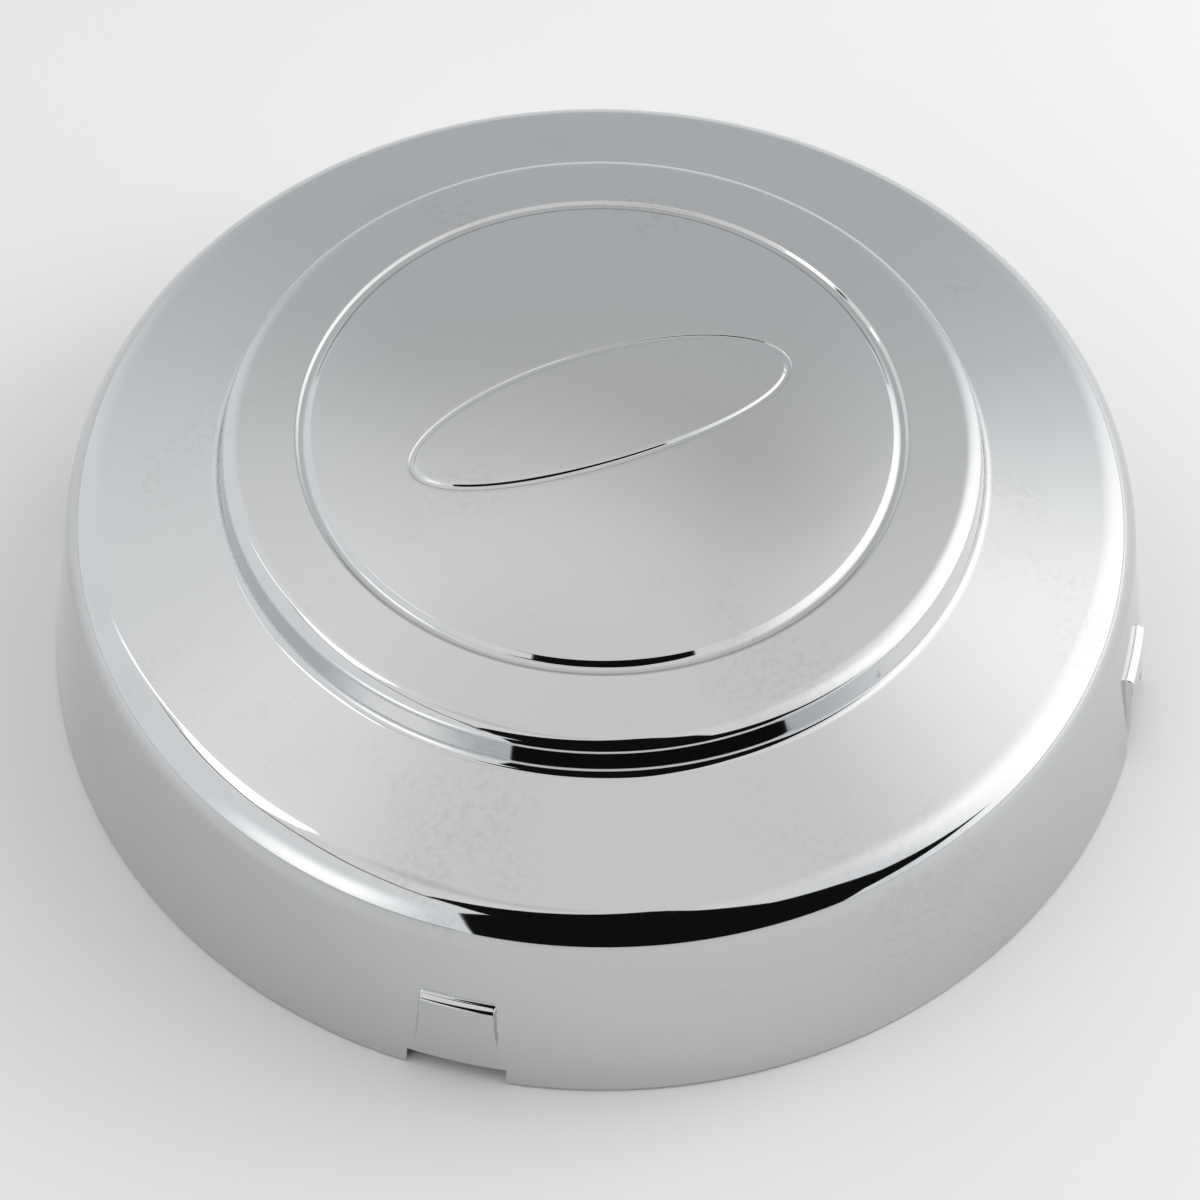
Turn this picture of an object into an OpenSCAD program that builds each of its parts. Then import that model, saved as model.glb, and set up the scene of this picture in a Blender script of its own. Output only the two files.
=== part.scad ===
// Wheel center cap: a one-piece chrome-plated moulding, open below, that covers
// the hub and the lug nuts. Millimetres. The origin is the centre of the rim
// plane, +Z points out of the wheel and +X lies along the long axis of the oval.

/* [Body] */
// Outer diameter of the rim
rim_d = 216; // [190:1:250]
// Wall thickness of the moulding
wall = 2.8; // [2:0.1:3.4]
// Height of the top's crown above the rim plane
crown_h = 63; // [60:0.5:72]
// Lean of the skirt from the vertical, in degrees
skirt_draft = 9.7; // [4:0.1:14]

/* [Shoulder and flange] */
// Height at which the skirt and the flange would meet without their round
shoulder_h = 41.5; // [36:0.5:44]
// Radius of the round between the skirt and the flange
shoulder_r = 9.7; // [6:0.1:12]
// Rise of the flange towards the middle, in degrees
flange_rise = 14.5; // [10:0.1:16]

/* [Step and top] */
// Diameter at the foot of the step, where its wall meets the flange
step_d = 144; // [136:1:150]
// Lean of the step's wall from the vertical, in degrees
step_draft = 11.8; // [6:0.2:18]
// Radius of the hollow at the foot of the step
step_foot_r = 2; // [1:0.1:3]
// Diameter at which the top's outer band begins, past the ring groove
band_d = 114; // [113.4:0.2:117]
// How far the band's inner edge lies below the edge of the disc
band_drop = 0.55; // [0.4:0.05:0.6]
// Fall of the outer band towards the step, in degrees
band_fall = 4.7; // [2:0.1:8]
// Fall of the bevel between the band and the step's wall, in degrees
bevel_fall = 34; // [28:1:42]
// Radius of the soft round between the band and the bevel
bevel_in_r = 8; // [5:0.5:12]
// Radius of the round between the bevel and the step's wall
bevel_out_r = 2.3; // [1.5:0.1:3]
// Radius of the sphere that the top is a part of
dome_r = 300; // [280:5:400]

/* [Ring groove] */
// Diameter of the raised disc inside the ring groove
disc_d = 108.3; // [104:0.1:108.8]
// Depth of the groove's floor below the edge of the disc
ring_depth = 0.9; // [0.85:0.05:1.1]
// Slope of the groove's side next to the disc, in degrees
ring_in_slope = 39; // [32:1:46]
// Slope of the groove's side next to the band, in degrees
ring_out_slope = 29; // [24:1:34]
// Radius of the edge of the disc
disc_edge_r = 0.35; // [0.2:0.05:0.5]
// Radius of the hollow at the foot of the disc
disc_foot_r = 1.3; // [0.8:0.1:1.6]
// Radius of the band's inner edge
band_edge_r = 0.6; // [0.3:0.05:0.7]

/* [Oval field] */
// Length of the oval field over its groove
oval_l = 75.6; // [60:0.2:90]
// Width of the oval field over its groove
oval_w = 27.4; // [20:0.2:40]
// Width of the groove around the oval field
oval_groove_w = 1.4; // [0.8:0.1:2]
// Depth of that groove below the top
oval_groove_depth = 0.45; // [0.3:0.05:0.8]
// Height of the oval field above the top around it
oval_rise = 0.35; // [0.1:0.05:0.6]

/* [Pads] */
// Number of pads around the skirt
pad_count = 4; // [2:1:6]
// Turn of the first pad from the oval's long axis, in degrees
pad_turn = 54.5; // [0:0.5:89.5]
// Width of a pad around the skirt
pad_w = 16.4; // [12:0.2:22]
// Height of a pad's lower edge above the rim plane
pad_foot_h = 3.7; // [2:0.1:6]
// Height of a pad's upper edge above the rim plane
pad_top_h = 21; // [16:0.5:26]
// How far a pad's face stands in from the rim's outer edge, at the rim plane
pad_face_in = 0.5; // [0.3:0.1:0.8]
// Lean of a pad's face from the vertical, in degrees
pad_draft = 1.8; // [0:0.1:4]
// Width of the notch in the rim below a pad
notch_w = 18.8; // [14:0.2:24]

/* [Hidden] */
$fn = 128;
eps = 0.01;
round_steps = 10;
dome_steps = 18;
oval_steps = 120;
inside_r = 0.8;
pad_edge_r = 1.6;
band_foot_r = 0.3;
rim_r = rim_d / 2;
dome_z = crown_h - dome_r;
pad_step = 360 / pad_count;

// Point where the line through p with direction angle a meets the line through q with direction angle b
function meet(p, a, q, b) =
    let (t = ((q[0] - p[0]) * sin(b) - (q[1] - p[1]) * cos(b)) / sin(b - a))
    [p[0] + t * cos(a), p[1] + t * sin(a)];

// Point p moved by d along the direction angle a
function along(p, a, d) = [p[0] + d * cos(a), p[1] + d * sin(a)];

// Point p moved by d across the direction angle a, to the left of it
function aside(p, a, d) = [p[0] - d * sin(a), p[1] + d * cos(a)];

function unit(v) = v / norm(v);

// Corner b of the path a, b, c as an arc of radius r that touches both of its sides
function corner(a, b, c, r) =
    let (u = unit(a - b), v = unit(c - b), half = acos(u * v) / 2,
         middle = b + unit(u + v) * r / sin(half),
         from = b + u * r / tan(half) - middle, to = b + v * r / tan(half) - middle,
         start = atan2(from[1], from[0]), turn = atan2(to[1], to[0]) - start,
         sweep = turn > 180 ? turn - 360 : turn < -180 ? turn + 360 : turn)
    [for (i = [0:round_steps]) middle + r * [cos(start + sweep * i / round_steps),
                                             sin(start + sweep * i / round_steps)]];

// Path of [r, z, radius] points with each corner that has a radius rounded
function rounded(path) =
    [for (i = [0:len(path) - 1]) let (p = [path[i][0], path[i][1]])
        each path[i][2] == 0 ? [p] :
            corner([path[i - 1][0], path[i - 1][1]], p, [path[i + 1][0], path[i + 1][1]], path[i][2])];

// Height of a sphere of radius r about the dome's centre, at the distance x from the axis
function dome_at(x, r) = dome_z + sqrt(r * r - x * x);

// Points along the dome of radius r, from the distance x to the axis
function dome(x, r) = [for (i = [dome_steps:-1:0]) [x * i / dome_steps, dome_at(x * i / dome_steps, r)]];

// Directions of the outline's straight stretches, walking up and inwards
skirt_a = 90 + skirt_draft;
flange_a = 180 - flange_rise;
step_a = 90 + step_draft;
bevel_a = 180 - bevel_fall;
band_a = 180 - band_fall;

// Corners of the outer face, before they are rounded
rim_out = [rim_r, 0];
shoulder = meet(rim_out, skirt_a, [0, shoulder_h], 0);
step_foot = [step_d / 2, shoulder[1] + (shoulder[0] - step_d / 2) * tan(flange_rise)];
disc_r = disc_d / 2;
disc_h = dome_at(disc_r, dome_r);
groove_h = disc_h - ring_depth;
disc_foot = [disc_r + ring_depth / tan(ring_in_slope), groove_h];
band_in = [band_d / 2, disc_h - band_drop];
band_foot = [band_in[0] - (band_in[1] - groove_h) / tan(ring_out_slope), groove_h];

// The bevel is just long enough for its two rounds to touch on it
step_edge = meet(step_foot, step_a, band_in, band_a);
bevel_l = bevel_in_r * tan((band_a - bevel_a) / 2) + bevel_out_r * tan((bevel_a - step_a) / 2) + eps;
bevel_out = along(step_edge, step_a, -bevel_l * sin(band_a - bevel_a) / sin(band_a - step_a));
bevel_in = along(step_edge, band_a, bevel_l * sin(bevel_a - step_a) / sin(band_a - step_a));

// Corners of the inner face, each a wall's thickness behind the outer one
rim_in = meet(aside(rim_out, skirt_a, wall), skirt_a, [0, 0], 0);
shoulder_in = meet(rim_in, skirt_a, aside(step_foot, flange_a, wall), flange_a);
foot_in = meet(aside(step_foot, flange_a, wall), flange_a, aside(step_foot, step_a, wall), step_a);
top_in_r = foot_in[0] - (dome_at(foot_in[0], dome_r - wall) - foot_in[1]) * tan(step_draft);
top_in = [top_in_r, dome_at(top_in_r, dome_r - wall)];

// Outer face: skirt, shoulder, flange, step, band, ring groove and domed disc
module outer_form() {
    rotate_extrude()
        polygon(concat(
            [[0, 0]],
            rounded([
                [rim_out[0], rim_out[1], 0],
                [shoulder[0], shoulder[1], shoulder_r],
                [step_foot[0], step_foot[1], step_foot_r],
                [bevel_out[0], bevel_out[1], bevel_out_r],
                [bevel_in[0], bevel_in[1], bevel_in_r],
                [band_in[0], band_in[1], band_edge_r],
                [band_foot[0], band_foot[1], band_foot_r],
                [disc_foot[0], disc_foot[1], disc_foot_r],
                [disc_r, disc_h, disc_edge_r],
                [disc_r - 2 * disc_edge_r, dome_at(disc_r - 2 * disc_edge_r, dome_r), 0]]),
            dome(disc_r - 4 * disc_edge_r, dome_r)));
}

// Hollow inside of the shell
module inner_form() {
    rotate_extrude()
        polygon(concat(
            [[0, -eps], [rim_in[0] + eps * tan(skirt_draft), -eps]],
            rounded([
                [rim_in[0], rim_in[1], 0],
                [shoulder_in[0], shoulder_in[1], shoulder_r - wall],
                [foot_in[0], foot_in[1], step_foot_r + wall],
                [top_in[0], top_in[1], inside_r],
                [top_in[0] - 3 * inside_r, dome_at(top_in[0] - 3 * inside_r, dome_r - wall), 0]]),
            dome(top_in[0] - 4 * inside_r, dome_r - wall)));
}

// One pad as a sector of a ring: its face is set in by inset, and its width and top shrink with it
module pad_block(inset) {
    face = [rim_r - pad_face_in - inset, 0];
    face_a = 90 + pad_draft;
    foot = meet(face, face_a, [0, pad_foot_h], 0);
    top = meet(face, face_a, [0, pad_top_h - inset], 0);
    root_r = rim_r - (pad_top_h + wall) * tan(skirt_draft) - 2 * wall;
    intersection() {
        rotate_extrude()
            polygon(rounded([
                [root_r, pad_foot_h, 0],
                [foot[0], foot[1], 0],
                [top[0], top[1], max(pad_edge_r - inset, inside_r)],
                [root_r, pad_top_h - inset + 1, 0]]));
        translate([rim_r / 2, -pad_w / 2 + inset, 0])
            cube([rim_r, pad_w - 2 * inset, shoulder_h]);
    }
}

// Notch in the rim below a pad
module notch() {
    translate([rim_r / 2, -notch_w / 2, -eps])
        cube([rim_r, notch_w, pad_foot_h + eps]);
}

module around_skirt() {
    for (i = [0:pad_count - 1])
        rotate([0, 0, pad_turn + i * pad_step]) children();
}

// Upright prism over an ellipse that is inset from the oval's outline
module oval_prism(inset) {
    a = oval_l / 2 - inset;
    b = oval_w / 2 - inset;
    translate([0, 0, crown_h / 2])
        linear_extrude(crown_h)
            polygon([for (i = [0:oval_steps - 1]) [a * cos(i * 360 / oval_steps), b * sin(i * 360 / oval_steps)]]);
}

// Everything under the top's sphere, raised or lowered by lift
module below_dome(lift) {
    rotate_extrude()
        polygon(concat([[0, 0], [disc_r, 0]], dome(disc_r, dome_r + lift)));
}

module oval_groove() {
    difference() {
        oval_prism(0);
        oval_prism(oval_groove_w);
        below_dome(-oval_groove_depth);
    }
}

module oval_field() {
    intersection() {
        oval_prism(oval_groove_w);
        below_dome(oval_rise);
    }
}

// The whole cap
module cap() {
    color("gainsboro")
        difference() {
            union() {
                outer_form();
                around_skirt() pad_block(0);
                oval_field();
            }
            inner_form();
            around_skirt() pad_block(wall);
            around_skirt() notch();
            oval_groove();
        }
}

cap();
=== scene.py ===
"""Wheel center cap: one chrome-plated moulding, shown on a pale floor in a light tent."""

import bpy
import numpy as np
from mathutils import Matrix, Vector


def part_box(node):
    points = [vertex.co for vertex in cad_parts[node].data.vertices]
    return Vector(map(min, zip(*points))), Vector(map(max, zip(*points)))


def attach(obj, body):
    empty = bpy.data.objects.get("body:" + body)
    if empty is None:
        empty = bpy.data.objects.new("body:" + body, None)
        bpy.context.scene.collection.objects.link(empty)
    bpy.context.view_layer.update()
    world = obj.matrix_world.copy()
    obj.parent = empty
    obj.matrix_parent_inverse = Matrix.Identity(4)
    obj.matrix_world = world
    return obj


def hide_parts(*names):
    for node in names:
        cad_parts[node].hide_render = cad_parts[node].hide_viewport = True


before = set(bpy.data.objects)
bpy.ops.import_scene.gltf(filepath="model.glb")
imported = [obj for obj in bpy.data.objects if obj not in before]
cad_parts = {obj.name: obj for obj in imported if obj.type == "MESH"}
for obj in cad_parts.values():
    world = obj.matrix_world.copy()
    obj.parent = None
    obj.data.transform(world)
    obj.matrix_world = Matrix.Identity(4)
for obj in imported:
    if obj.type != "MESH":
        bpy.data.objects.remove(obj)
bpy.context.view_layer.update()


# The cap is a single ABS moulding, shot in one mould and plated all over: a drafted skirt,
# a round shoulder, a flange and a step up to a domed top. It clips into the wheel by the four
# pads on its skirt. Lengths are in millimetres, and drafts, rises, falls and slopes in degrees.
mm = 0.001
low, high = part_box("cap")
rim_r = round((high.x - low.x) / mm) / 2
rim_edge_r = 0.3
wall = 2.8
skirt_draft = 9.7
shoulder_h, shoulder_r = 41.5, 9.7
flange_rise = 14.5
step_r, step_draft, step_foot_r = 72.0, 11.8, 2.0
bevel_fall, bevel_in_r, bevel_out_r, bevel_flat = 34.0, 5.0, 1.7, 0.6
crown_h, dome_r = 63.0, 300.0
band_r, band_drop, band_fall, band_edge_r = 57.0, 0.55, 8.6, 0.6
disc_r, disc_edge_r, disc_foot_r = 54.15, 0.35, 1.3
ring_depth, ring_in_slope, ring_out_slope, ring_out_foot_r = 0.9, 39.0, 29.0, 0.3
oval_l, oval_w, oval_rise = 75.6, 27.4, 0.15
oval_groove_w, oval_groove_depth, oval_slope, oval_edge_r = 1.4, 0.2, 46.0, 0.25
pad_count, pad_turn, pad_w = 4, 54.5, 16.4
pad_foot_h, pad_top_h, pad_face_in, pad_draft, pad_taper = 3.7, 21.0, 0.3, 4.9, 0.9
pad_edge, pad_side_edge = 0.7, 0.45
notch_w = 18.8

# Where the grid changes from one kind of rows to the next: the outline gives way to the skirt's rows
# at skirt_top, and to the dome's ovals at plate_r. Below squeeze_h the skirt's rows make room for the
# notches.
skirt_top = pad_top_h + 3
squeeze_h = 7.0
plate_r = disc_r - 1.4


def along(angle):
    """Unit vector at an angle in degrees: its cosine and its sine."""
    return np.array([np.cos(np.radians(angle)), np.sin(np.radians(angle))])


def slope(angle):
    """Tangent of an angle in degrees."""
    return np.tan(np.radians(angle))


def meet(p, a, q, b):
    """Point where the line through p at angle a meets the line through q at angle b: p moved along its
    line by the cross product of q - p with q's direction, over the sine of b - a."""
    right, up = along(b)
    t = ((q[0] - p[0]) * up - (q[1] - p[1]) * right) / np.sin(np.radians(b - a))
    return p + t * along(a)


def rounded(corners, step_angle=5.0):
    """Path through (r, z, radius) corners. A corner with a radius becomes an arc that touches both of its
    sides, at radius over the tangent of half the corner's angle. Its centre lies radius over the sine of
    that half along the line that halves the corner. Each step of an arc turns by step_angle at most."""
    path = [np.array(corners[0][:2])]
    for (*before, _), (*at, radius), (*after, _) in zip(corners, corners[1:], corners[2:]):
        at = np.array(at)
        u = (before - at) / np.linalg.norm(before - at)
        v = (after - at) / np.linalg.norm(after - at)
        half = np.arccos(u @ v) / 2
        centre = at + (u + v) / np.linalg.norm(u + v) * radius / np.sin(half)
        start, end = (np.arctan2(*(at + side * radius / np.tan(half) - centre)[::-1]) for side in (u, v))
        sweep = (end - start + np.pi) % (2 * np.pi) - np.pi
        steps = int(np.ceil(np.degrees(abs(sweep)) / step_angle))
        angles = start + sweep * np.linspace(0, 1, steps + 1)
        path += list(centre + radius * np.stack([np.cos(angles), np.sin(angles)], 1))
    return np.array(path + [np.array(corners[-1][:2])])


def guarded(path, reach=0.25, longest=6.0):
    """The path with a point added at reach from both ends of each long straight, so that smooth shading
    stays flat there, and with straights longer than longest cut into equal parts."""
    points = [path[:1]]
    for a, b in zip(path[:-1], path[1:]):
        length = np.linalg.norm(b - a)
        stops = [1.0]
        if length > 4 * reach:
            parts = int(np.ceil(length / longest))
            stops = [reach / length, *np.arange(1, parts) / parts, 1 - reach / length, 1.0]
        points.append(a + np.outer(stops, b - a))
    return np.concatenate(points)


def dome_at(distance, drop=0.0):
    """Height of the top's sphere at a distance from the axis, drop below its face: the centre's height
    plus the root of the radius squared less the distance squared."""
    return crown_h - dome_r + np.sqrt((dome_r - drop) ** 2 - distance ** 2)


# Straight stretches of the outline meet at these corners, walking up from the rim. The ring groove's
# sides run out and in from its edges by its depth over the tangent of their slope.
shoulder = meet((rim_r, 0), 90 + skirt_draft, (0, shoulder_h), 0)
step_foot = np.array([step_r, shoulder[1] + (shoulder[0] - step_r) * slope(flange_rise)])
disc_h = dome_at(disc_r)
band_h = disc_h - band_drop
groove_h = disc_h - ring_depth
disc_foot = (disc_r + ring_depth / slope(ring_in_slope), groove_h)
band_foot = (band_r - (ring_depth - band_drop) / slope(ring_out_slope), groove_h)
step_edge = meet(step_foot, 90 + step_draft, (band_r, band_h), 180 - band_fall)

# A bevel cuts the corner between the band and the step's wall. Each of its two rounds takes its radius
# times the tangent of half its turn from the bevel's length, and bevel_flat is left between them. By
# the law of sines, the bevel starts at its length times the sine of the other turn, over the sine of
# both turns together, from the corner.
turn_in, turn_out = bevel_fall - band_fall, 90 - step_draft - bevel_fall
bevel = bevel_in_r * slope(turn_in / 2) + bevel_out_r * slope(turn_out / 2) + bevel_flat
cut_in, cut_out = bevel * np.sin(np.radians([turn_out, turn_in])) / np.sin(np.radians(turn_in + turn_out))
bevel_in = step_edge + cut_in * along(180 - band_fall)
bevel_out = step_edge + cut_out * along(step_draft - 90)
outer = guarded(rounded([
    (plate_r, dome_at(plate_r), 0),
    (disc_r, disc_h, disc_edge_r),
    (*disc_foot, disc_foot_r),
    (*band_foot, ring_out_foot_r),
    (band_r, band_h, band_edge_r),
    (*bevel_in, bevel_in_r),
    (*bevel_out, bevel_out_r),
    (*step_foot, step_foot_r),
    (*shoulder, shoulder_r),
    (*meet((rim_r, 0), 90 + skirt_draft, (0, skirt_top), 0), 0)]))

# The inner face lies a wall's thickness behind the outer one.
inner_edge_r = 0.8
inner_rim = meet((rim_r - wall / np.cos(np.radians(skirt_draft)), 0), 90 + skirt_draft, (0, 0), 0)
flange_under = step_foot - wall * along(90 - flange_rise)
wall_inner = step_foot - wall * along(step_draft)
inner_shoulder = meet(inner_rim, 90 + skirt_draft, flange_under, 180 - flange_rise)
inner_foot = meet(flange_under, 180 - flange_rise, wall_inner, 90 + step_draft)
inner_top_r = inner_foot[0] - (dome_at(inner_foot[0], wall) - inner_foot[1]) * slope(step_draft)
inner_plate_r = inner_top_r - 2.4
inner = guarded(rounded([
    (*meet(inner_rim, 90 + skirt_draft, (0, skirt_top), 0), 0),
    (*inner_shoulder, shoulder_r - wall),
    (*inner_foot, step_foot_r + wall),
    (inner_top_r, dome_at(inner_top_r, wall), inner_edge_r),
    (inner_plate_r, dome_at(inner_plate_r, wall), 0)], step_angle=15), reach=0.5, longest=12.0)


def apart(angles, others):
    """Least angle between each of the angles and any of the others: their difference, wrapped to half a
    turn either way and without its sign."""
    return np.abs((angles[:, None] - others[None, :] + np.pi) % (2 * np.pi) - np.pi).min(1)


# Columns of the grid: 300 even ones, a fan of fine ones over each side of a pad, and four at each
# side of a notch, at these distances from it. An even one that lies too close to those is left out.
even_columns, fan_columns = 300, 11
notch_columns = np.array([-0.35, -0.03, 0.03, 0.35])
column_gap = 0.3
pad_angles = np.radians(pad_turn + np.arange(pad_count) * 360 / pad_count)


def around():
    """Angles of the grid's columns. A distance along the rim over the rim's radius is an angle, and the
    fan is a little wider than the round and the taper of a pad's side."""
    side = pad_side_edge + pad_taper
    fan = pad_w / 2 - side / 2 + np.linspace(-0.6, 0.6, fan_columns) * side
    near = np.concatenate([fan, notch_w / 2 + notch_columns]) / rim_r
    fine = (pad_angles[:, None] + np.concatenate([near, -near])[None, :]).ravel() % (2 * np.pi)
    even = np.linspace(0, 2 * np.pi, even_columns, endpoint=False)
    return np.sort(np.concatenate([even[apart(even, fine) > column_gap / rim_r], fine]))


turn = around()
off_pad = apart(turn, pad_angles)[None, :] * rim_r


def rise(x, start, end):
    """0 before start, 1 after end and the smooth step 3t^2 - 2t^3 between them."""
    t = np.clip((x - start) / (end - start), 0, 1)
    return t * t * (3 - 2 * t)


def skirt_at(z, foot_r):
    """Radius of the skirt's cone at height z: its radius at the foot less z times the draft's tangent."""
    return foot_r - z * slope(skirt_draft)


def pad_bulge(z, inset):
    """How far a pad stands out of the skirt at height z: the gap between the skirt's cone and the pad's
    steeper face, faded out over pad_edge at its top and pad_side_edge at its sides, which draw in by
    pad_taper towards the top. Inset makes the pocket behind it."""
    face = rim_r - pad_face_in - z * slope(pad_draft)
    top = pad_top_h - inset
    side = pad_w / 2 - inset - pad_taper * (z - pad_foot_h) / (pad_top_h - pad_foot_h)
    below_top = 1 - rise(z, top - pad_edge, top + pad_edge / 2)
    between_sides = 1 - rise(off_pad, side - pad_side_edge, side)
    return np.clip(face - skirt_at(z, rim_r), 0, None) * below_top * between_sides


# Rows of the grid that are ellipses on the dome: rows of the oval's field, rows across its groove,
# and rows that pass from the oval into the disc's circle. They are lifted off the dome by lift.
oval_margin = 0.9
field = np.linspace(0, 1, 10)[1:-1]
spread = np.linspace(0, 1, 12)[1:-1]
groove_run = 1 / slope(oval_slope)
groove = guarded(rounded([
    (oval_groove_w + oval_margin, oval_rise, 0),
    (oval_groove_w, oval_rise, oval_edge_r),
    (oval_groove_w - (oval_rise + oval_groove_depth) * groove_run, -oval_groove_depth, oval_edge_r),
    (oval_groove_depth * groove_run, -oval_groove_depth, oval_edge_r),
    (0, 0, oval_edge_r),
    (-oval_margin, 0, 0)], step_angle=8), reach=0.2)


def oval_rows(half):
    """Half lengths or half widths of those rows: shares of the field's own, the groove's, and a share of
    the oval's with the rest of the disc's."""
    return np.concatenate([field * (half - oval_groove_w - oval_margin), half - groove[:, 0],
                           (half + oval_margin) * (1 - spread) + plate_r * spread])


lift = np.concatenate([np.full(len(field), oval_rise), groove[:, 1], np.zeros(len(spread))])
top_x = np.outer(oval_rows(oval_l / 2), np.cos(turn))
top_y = np.outer(oval_rows(oval_w / 2), np.sin(turn))
top_z = dome_at(np.hypot(top_x, top_y)) + lift[:, None]

# Rows down the skirt, close together where the pads end, and squeezed above the notches in the rim.
# The rows of the inner face lie a little lower, so that the pockets end below the pads' tops.
skirt_z = np.concatenate([
    np.linspace(pad_top_h + 2, pad_top_h + 0.6, 5),
    np.linspace(pad_top_h + 0.4, pad_top_h - 1, 8),
    np.linspace(pad_top_h - 1.6, squeeze_h, 7),
    [5.2, 4.1, 3.0, 1.8, 0.8, rim_edge_r]])[:, None]
rim_z = pad_foot_h * (off_pad < notch_w / 2)
squeezed = np.where(skirt_z < squeeze_h, rim_z + skirt_z * (squeeze_h - rim_z) / squeeze_h, skirt_z)
pocket_z = (squeezed - 0.4 * wall * rise(skirt_z, squeeze_h, squeeze_h + 2))[::-1]
rim_round = 0.8 * rim_edge_r


def revolved(path):
    """Rows of a grid that carry a path of (r, z) points round the axis."""
    return np.repeat(path[:, :1], len(turn), 1), np.repeat(path[:, 1:], len(turn), 1)


under_r = np.linspace(inner_plate_r - 0.2, 2.0, 7)
under = np.stack([under_r, dome_at(under_r, wall)], 1)
rows = [revolved(outer),
        (skirt_at(squeezed, rim_r) + pad_bulge(squeezed, 0), squeezed),
        (skirt_at(rim_z, rim_r) - rim_round, rim_z),
        (skirt_at(rim_z, inner_rim[0]) + rim_round, rim_z),
        (skirt_at(pocket_z, inner_rim[0]) + pad_bulge(pocket_z, wall), pocket_z),
        revolved(inner),
        revolved(under)]
radius = np.concatenate([row[0] for row in rows])
height = np.concatenate([row[1] for row in rows])
grid_x = np.concatenate([top_x, radius * np.cos(turn)])
grid_y = np.concatenate([top_y, radius * np.sin(turn)])
grid_z = np.concatenate([top_z, height])


def closed_shell(name, x, y, z, first_pole, last_pole):
    """Mesh of a grid whose columns run once round the axis: each face takes two neighbouring points of a
    row and the same two of the next row, and a fan closes each end of the rows at a pole."""
    count_rows, count = x.shape
    points = np.concatenate([np.stack([x, y, z], -1).reshape(-1, 3), [first_pole, last_pole]]) * mm
    index = np.arange(count_rows * count).reshape(count_rows, count)
    after = np.roll(index, -1, 1)
    quads = np.stack([index[:-1], index[1:], after[1:], after[:-1]], -1).reshape(-1, 4)
    first = np.stack([np.full(count, len(points) - 2), index[0], after[0]], -1)
    last = np.stack([np.full(count, len(points) - 1), after[-1], index[-1]], -1)
    mesh = bpy.data.meshes.new(name)
    mesh.from_pydata(points.tolist(), [], quads.tolist() + first.tolist() + last.tolist())
    mesh.update()
    mesh.shade_smooth()
    piece = bpy.data.objects.new(name, mesh)
    bpy.context.collection.objects.link(piece)
    return piece


# An edge that turns by more than this many degrees stays sharp.
sharp_angle = 38
cap = closed_shell("cap_moulding", grid_x, grid_y, grid_z,
                   (0, 0, crown_h + oval_rise), (0, 0, crown_h - wall))
cap.data.set_sharp_from_angle(angle=np.radians(sharp_angle))


# The plating is bright chrome over nickel and copper. It is mirror smooth outside, with the
# faint waviness of the moulding under it, and handling has left thin smears on it. Inside the
# hollow, where the current of the bath hardly reaches, it stays thin and dull.
chrome_colour = (0.60, 0.608, 0.615)
dull_colour = (0.42, 0.425, 0.43)
smear_colour = (0.47, 0.44, 0.40)
smear_scale, smear_grain, smear_roughness = 26.0, 750.0, 0.12
wave_scale = 120.0


def handling_smears():
    """Node group for thin smears. Its mask is the product of two noises, each cut by a smooth threshold:
    patches of size Scale, and a fine Grain within them. Amount thins the mask."""
    group = bpy.data.node_groups.new("handling_smears", "ShaderNodeTree")
    for text, value in (("Scale", smear_scale), ("Grain", smear_grain), ("Amount", 0.5)):
        socket = group.interface.new_socket(text, in_out="INPUT", socket_type="NodeSocketFloat")
        socket.default_value = value
    group.interface.new_socket("Mask", in_out="OUTPUT", socket_type="NodeSocketFloat")
    given, put = group.nodes.new("NodeGroupInput"), group.nodes.new("NodeGroupOutput")
    surface = group.nodes.new("ShaderNodeTexCoord")
    mask = given.outputs["Amount"]
    for size, detail, start, end in (("Scale", 3, 0.52, 0.70), ("Grain", 4, 0.40, 0.75)):
        noise = group.nodes.new("ShaderNodeTexNoise")
        noise.inputs["Detail"].default_value = detail
        noise.inputs["Roughness"].default_value = 0.6
        threshold = group.nodes.new("ShaderNodeMapRange")
        threshold.interpolation_type = "SMOOTHSTEP"
        threshold.inputs["From Min"].default_value = start
        threshold.inputs["From Max"].default_value = end
        both = group.nodes.new("ShaderNodeMath")
        both.operation = "MULTIPLY"
        group.links.new(surface.outputs["Object"], noise.inputs["Vector"])
        group.links.new(given.outputs[size], noise.inputs["Scale"])
        group.links.new(noise.outputs["Fac"], threshold.inputs["Value"])
        group.links.new(threshold.outputs["Result"], both.inputs[0])
        group.links.new(mask, both.inputs[1])
        mask = both.outputs[0]
    group.links.new(mask, put.inputs["Mask"])
    return group


smear_group = handling_smears()


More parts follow.
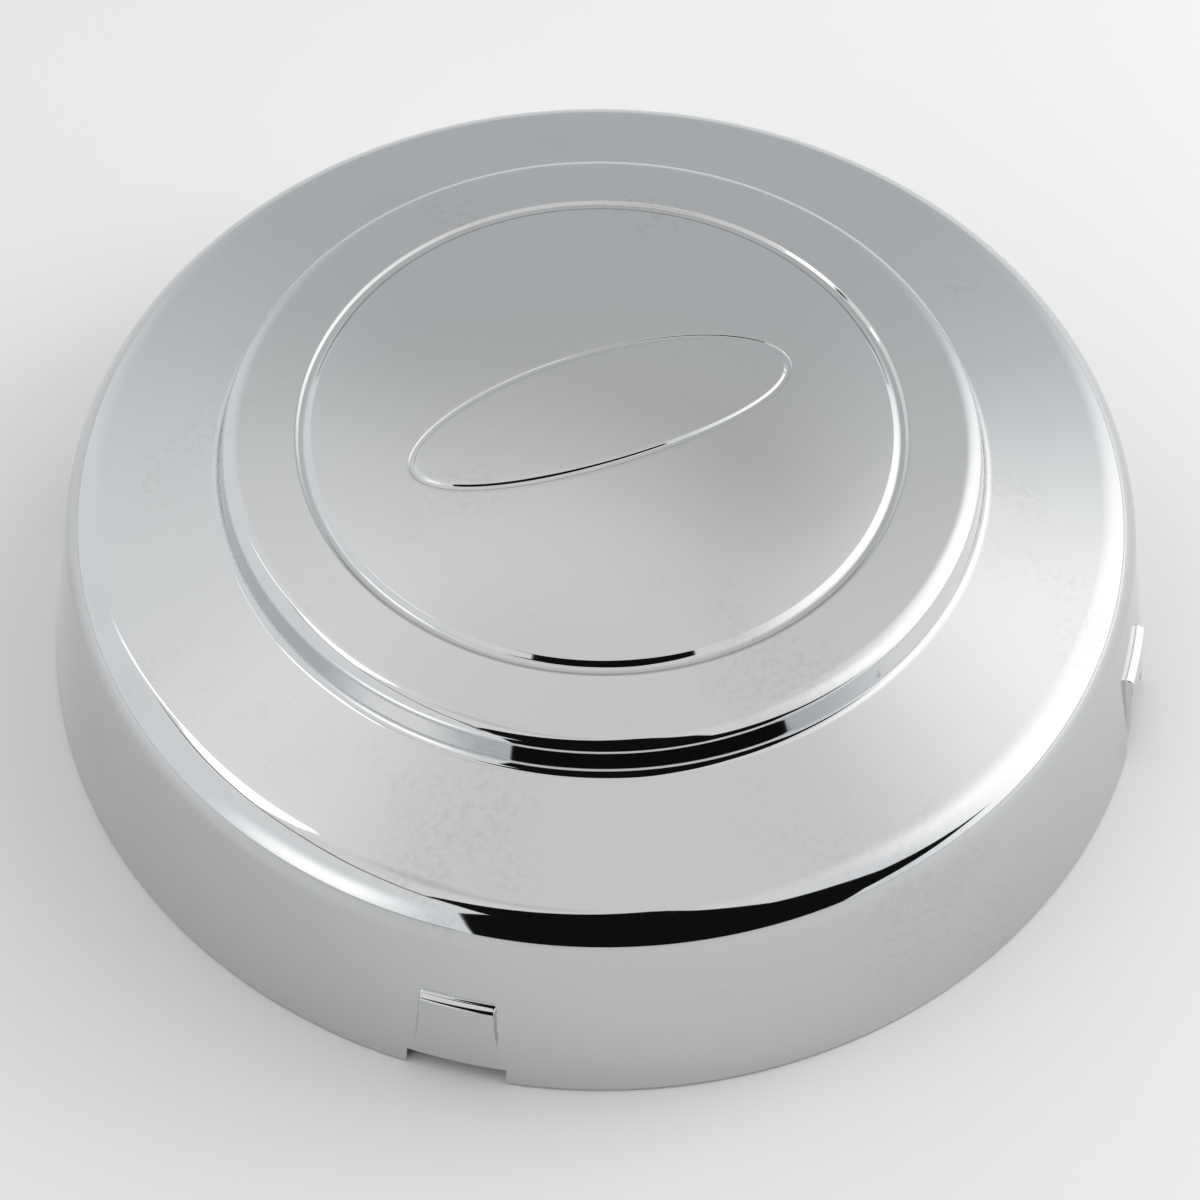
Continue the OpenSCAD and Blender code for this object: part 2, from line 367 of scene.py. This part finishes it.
def plating(name, colour, roughness, smear_amount, wave_height):
    """Metal whose colour and roughness go over to those of the smears by their mask, with a bump of
    shallow noise waves, wave_height high in metres."""
    material = bpy.data.materials.new(name)
    material.use_nodes = True
    tree = material.node_tree
    shader = tree.nodes["Principled BSDF"]
    shader.inputs["Metallic"].default_value = 1.0
    smears = tree.nodes.new("ShaderNodeGroup")
    smears.node_tree = smear_group
    smears.inputs["Scale"].default_value = smear_scale
    smears.inputs["Grain"].default_value = smear_grain
    smears.inputs["Amount"].default_value = smear_amount
    tint = tree.nodes.new("ShaderNodeMix")
    tint.data_type = "RGBA"
    tint.inputs["A"].default_value = (*colour, 1)
    tint.inputs["B"].default_value = (*smear_colour, 1)
    tree.links.new(smears.outputs["Mask"], tint.inputs["Factor"])
    tree.links.new(tint.outputs["Result"], shader.inputs["Base Color"])
    gloss = tree.nodes.new("ShaderNodeMapRange")
    gloss.inputs["To Min"].default_value = roughness
    gloss.inputs["To Max"].default_value = roughness + smear_roughness
    tree.links.new(smears.outputs["Mask"], gloss.inputs["Value"])
    tree.links.new(gloss.outputs["Result"], shader.inputs["Roughness"])
    surface = tree.nodes.new("ShaderNodeTexCoord")
    waves = tree.nodes.new("ShaderNodeTexNoise")
    waves.inputs["Scale"].default_value = wave_scale
    waves.inputs["Detail"].default_value = 2
    tree.links.new(surface.outputs["Object"], waves.inputs["Vector"])
    bump = tree.nodes.new("ShaderNodeBump")
    bump.inputs["Strength"].default_value = 1.0
    bump.inputs["Distance"].default_value = wave_height
    tree.links.new(waves.outputs["Fac"], bump.inputs["Height"])
    tree.links.new(bump.outputs["Normal"], shader.inputs["Normal"])
    return material


# The dull plating takes over at the rim's inner edge. The two fans come last in the mesh, the outer
# one first.
cap.data.materials.append(plating("bright_chrome", chrome_colour, 0.035, 0.42, 3e-6))
cap.data.materials.append(plating("thin_dull_plating", dull_colour, 0.28, 0.6, 3e-5))
bright_rows = len(top_x) + len(outer) + len(squeezed) + 1
face_row = np.arange((len(grid_x) - 1) * len(turn)) // len(turn)
within = np.concatenate([face_row >= bright_rows, np.zeros(len(turn), bool), np.ones(len(turn), bool)])
cap.data.polygons.foreach_set("material_index", within.astype(np.int32))
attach(cap, "root")
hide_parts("cap")


# The floor is one round sheet of pale matt card, laid flat and much wider than any view of it. The
# cap stands on it by its rim. Its radius and its drop below the rim are in metres.
floor_colour = (0.80, 0.805, 0.81)
floor_r, floor_sides, floor_drop = 4.0, 96, 0.0003
side_angles = np.arange(floor_sides) * 2 * np.pi / floor_sides
floor_points = floor_r * np.stack([np.cos(side_angles), np.sin(side_angles), np.zeros(floor_sides)], 1)
floor_mesh = bpy.data.meshes.new("floor")
floor_mesh.from_pydata(floor_points.tolist(), [], [tuple(range(floor_sides))])
floor = bpy.data.objects.new("floor", floor_mesh)
floor.location.z = -floor_drop
bpy.context.collection.objects.link(floor)
card = bpy.data.materials.new("pale_card")
card.use_nodes = True
paper = card.node_tree.nodes["Principled BSDF"]
paper.inputs["Base Color"].default_value = (*floor_colour, 1)
paper.inputs["Roughness"].default_value = 0.9
paper.inputs["Specular IOR Level"].default_value = 0.0
floor_mesh.materials.append(card)


# The light comes from a tent of white cloth round the cap. It glows softly over a wide patch on the
# right and a small one on the left, a bright panel hangs high on the left, and the dark shows where
# it is open in front. Azimuths from the front to the right, and elevations, are in degrees.
tent_turn = 22.2
scene = bpy.context.scene
world = bpy.data.worlds.new("light_tent")
scene.world = world
world.use_nodes = True
nodes, links = world.node_tree.nodes, world.node_tree.links


def math(operation, *values):
    """Output of a Math node over numbers or sockets."""
    node = nodes.new("ShaderNodeMath")
    node.operation = operation
    for slot, value in zip(node.inputs, values):
        if isinstance(value, bpy.types.NodeSocket):
            links.new(value, slot)
        else:
            slot.default_value = value
    return node.outputs[0]


def spanned(value, start, end, low=0.0, high=1.0, kind="LINEAR"):
    """Socket carried from start to end over to low to high, and held there outside."""
    node = nodes.new("ShaderNodeMapRange")
    node.interpolation_type = kind
    links.new(value, node.inputs["Value"])
    for text, number in zip(("From Min", "From Max", "To Min", "To Max"), (start, end, low, high)):
        node.inputs[text].default_value = number
    return node.outputs["Result"]


def ramp(value, start, end, low=0.0, high=1.0):
    """Smooth step of a socket from low at start to high at end."""
    return spanned(value, start, end, low, high, "SMOOTHSTEP")


def window(value, start, full, fall, end):
    """1 between full and fall, and smoothly 0 before start and after end."""
    return math("MULTIPLY", ramp(value, start, full), ramp(value, fall, end, 1.0, 0.0))


def patch(azimuths, elevations):
    """Product of a window over azimuth and one over elevation."""
    return math("MULTIPLY", window(azimuth, *azimuths), window(elevation, *elevations))


def curve(value, points):
    """Height, at a socket's value, of the line through given (value, height) points: the points and
    the value are brought to 0 to 1 for the curve, and the height back to its own range."""
    places, heights = np.array(points).T
    node = nodes.new("ShaderNodeFloatCurve")
    track = node.mapping.curves[0].points
    scaled = list(zip((places - places[0]) / np.ptp(places), (heights - heights.min()) / np.ptp(heights)))
    track[0].location, track[1].location = scaled[0], scaled[-1]
    for place, share in scaled[1:-1]:
        track.new(place, share)
    for point in track:
        point.handle_type = "VECTOR"
    node.mapping.update()
    links.new(spanned(value, places[0], places[-1]), node.inputs["Value"])
    return math("MULTIPLY_ADD", node.outputs[0], np.ptp(heights), heights.min())


def added(value, *gains):
    """The value plus each mask times its gain."""
    for mask, gain in gains:
        value = math("ADD", value, math("MULTIPLY", mask, gain))
    return value


def dimmed(value, mask, share):
    """The value times what is left of 1 when the mask times its share is taken off."""
    return math("MULTIPLY", value, added(1.0, (mask, -share)))


# Directions: azimuth is the arc tangent of right over front, and elevation the arc sine of up.
look = nodes.new("ShaderNodeTexCoord")
turned = nodes.new("ShaderNodeVectorRotate")
turned.rotation_type = "Z_AXIS"
turned.inputs["Angle"].default_value = np.radians(tent_turn)
links.new(look.outputs["Generated"], turned.inputs["Vector"])
axes = nodes.new("ShaderNodeSeparateXYZ")
links.new(turned.outputs["Vector"], axes.inputs["Vector"])
right, back, up = axes.outputs
front = math("MULTIPLY", back, -1.0)
azimuth = math("MULTIPLY", math("ARCTAN2", right, front), 180 / np.pi)
elevation = math("MULTIPLY", math("ARCSINE", up), 180 / np.pi)

# The cloth is a little darker overhead and darker at the back, where the dark reaches higher on the
# right. It has the two glows, a halo beside the panel and a fold overhead. Where each of them starts,
# is full, falls and ends is set first in azimuth and then in elevation.
overhead = ramp(elevation, 60, 76)
leaning = math("SUBTRACT", elevation, math("MULTIPLY", right, 30.0))
rear = math("MULTIPLY", ramp(math("ABSOLUTE", azimuth), 132, 165), ramp(leaning, 45, 72, 1.0, 0.0))
glow_right = patch((50, 84, 122, 152), (-50, -8, 40, 72))
glow_left = patch((-74, -52, -44, -26), (-12, 12, 18, 40))
halo = patch((-155, -122, -105, -80), (46, 60, 68, 82))
fold = patch((-110, -80, -20, 10), (70, 74, 76, 81))
light = added(1.0, (overhead, -0.10), (rear, -0.36), (glow_right, 0.64), (glow_left, 0.68),
              (halo, 0.12), (fold, -0.12))

# The bright panel high on the left leans, with a narrow strip below its corner. The cloth's seam
# runs along its foot to the opening, and a hem lies level with the floor on the left.
panel_foot = [(-126, 60), (-119, 56), (-108, 54.2), (-96, 55.7), (-87, 57), (-80, 57)]
panel_top = [(-126, 48), (-120.5, 57.5), (-117, 62.5), (-113, 69.3), (-104, 68.8), (-94.5, 65.4),
             (-87, 57), (-80, 40)]
seam_line = [(-120, 45), (-115, 50.5), (-108, 52.6), (-101, 53.4), (-96, 54.4), (-87, 56.2),
             (-75, 57.9), (-66, 57.4), (-58, 56.4), (-48, 55.2), (-38, 52.8), (-30, 51)]
above_panel_foot = ramp(math("SUBTRACT", elevation, curve(azimuth, panel_foot)), -1.2, 0.5)
below_panel_top = ramp(math("SUBTRACT", curve(azimuth, panel_top), elevation), -0.4, 0.4)
panel = math("MULTIPLY", above_panel_foot, below_panel_top)
panel = math("MULTIPLY", panel, window(azimuth, -126, -125, -82, -81))
strip = patch((-120.8, -119.8, -117.6, -116.6), (38, 46, 54, 57))
off_seam = math("SUBTRACT", elevation, curve(azimuth, seam_line))
seam = math("MULTIPLY", window(off_seam, -1.1, -0.4, 0.4, 1.1), window(azimuth, -117, -110, -36, -33))
hem = patch((-75, -45, -24, -20), (-4, -3, 0.5, 1.3))
light = added(light, (panel, 1.1), (strip, 0.8))
light = dimmed(dimmed(light, seam, 0.85), hem, 0.6)

# The opening is drawn on an upright plane one unit in front: across is to the right and over is up,
# each over the direction's part to the front. It lies below its top and above its foot, and to the
# right of its side or, higher up, above the top of the cloth that stands to the left of that side.
least_front = 0.02
opening_top = [(-1.0, 1.6), (-0.78, 1.72), (-0.70, 1.95), (-0.36, 2.28), (0.0, 2.68), (0.32, 3.2),
               (0.42, 3.0), (0.49, 2.2), (0.73, 1.28), (1.04, 1.10), (1.30, 0.83), (1.80, 0.78),
               (2.3, 0.75), (3.3, 0.74), (3.5, 0.70), (4.0, 0.05)]
opening_foot = [(-1.0, -0.07), (0.86, -0.07), (0.98, 0.08), (1.05, 0.18), (1.35, 0.29), (1.96, 0.45),
                (2.3, 0.54), (2.9, 0.66), (3.3, 0.73), (4.0, 0.8)]
cloth_top = [(-1.0, 1.9), (-0.78, 1.72), (-0.55, 1.38), (-0.40, 1.13), (4.0, 1.13)]
opening_side = [(-0.1, 0.365), (0.0, 0.37), (0.066, 0.376), (0.46, 0.421), (0.855, 0.481),
                (1.13, 0.40), (1.2, 0.40)]
across = math("DIVIDE", right, math("MAXIMUM", front, least_front))
over = math("DIVIDE", up, math("MAXIMUM", front, least_front))
below_top = ramp(math("SUBTRACT", curve(across, opening_top), over), -0.03, 0.03)
above_foot = ramp(math("SUBTRACT", over, curve(across, opening_foot)), -0.01, 0.01)
above_cloth = ramp(math("SUBTRACT", over, curve(across, cloth_top)), -0.012, 0.012)
right_of_side = ramp(math("ADD", across, curve(over, opening_side)), -0.008, 0.008)
low_down = ramp(over, 1.20, 1.22, 1.0, 0.0)
opening = math("MAXIMUM", above_cloth, math("MULTIPLY", right_of_side, low_down))
for mask in (below_top, above_foot, math("GREATER_THAN", front, 0.03)):
    opening = math("MULTIPLY", opening, mask)
light = dimmed(light, opening, 0.993)

# Seen straight, the tent is plain, so that no view of the cap has the opening behind it.
plain_tent = 0.68
straight = nodes.new("ShaderNodeLightPath").outputs["Is Camera Ray"]
light = added(dimmed(light, straight, 1.0), (straight, plain_tent))

# Low down the cloth looks cooler than overhead, except in the two glows: red falls and blue rises.
cool = dimmed(ramp(elevation, 70, 20), math("MAXIMUM", glow_right, glow_left), 1.0)
tone = nodes.new("ShaderNodeCombineColor")
links.new(math("MULTIPLY", light, added(1.01, (cool, -0.045))), tone.inputs["Red"])
links.new(light, tone.inputs["Green"])
links.new(math("MULTIPLY", light, added(0.985, (cool, 0.035))), tone.inputs["Blue"])
links.new(tone.outputs["Color"], nodes["Background"].inputs["Color"])


# Two soft square lamps light only the floor, as the tent's glowing walls would: a strong one on the
# right and a weak one on the left. The chrome doesn't mirror them, because it mirrors those walls.
# Each has its place and size in metres and its power in watts.
for name, spot, size, power in (("wall_light_right", (0.69, -0.09, 0.45), 0.45, 2.8),
                                ("wall_light_left", (-0.56, 0.24, 0.25), 0.4, 0.4)):
    lamp = bpy.data.objects.new(name, bpy.data.lights.new(name, "AREA"))
    lamp.data.size = size
    lamp.data.energy = power
    lamp.location = spot
    lamp.visible_camera = False
    lamp.visible_glossy = False
    bpy.context.collection.objects.link(lamp)


# The camera stands where the photograph was taken from, in front of the cap and above it, with
# a long lens. It looks at a point beside the cap's axis and is rolled a little, in degrees.
camera_place = Vector((-0.14750, -0.36143, 0.52953))
camera_aim = Vector((-0.00754, -0.01860, 0.030))
camera_roll = 0.824
camera_sensor, camera_lens = 36, 98.74
camera = bpy.data.objects.new("camera", bpy.data.cameras.new("camera"))
bpy.context.collection.objects.link(camera)
camera.data.sensor_width = camera_sensor
camera.data.lens = camera_lens
camera.location = camera_place
level = (camera_aim - camera_place).to_track_quat("-Z", "Y").to_matrix()
camera.rotation_euler = (level @ Matrix.Rotation(np.radians(camera_roll), 3, "Z")).to_euler()
scene.camera = camera
scene.view_settings.view_transform = "Standard"
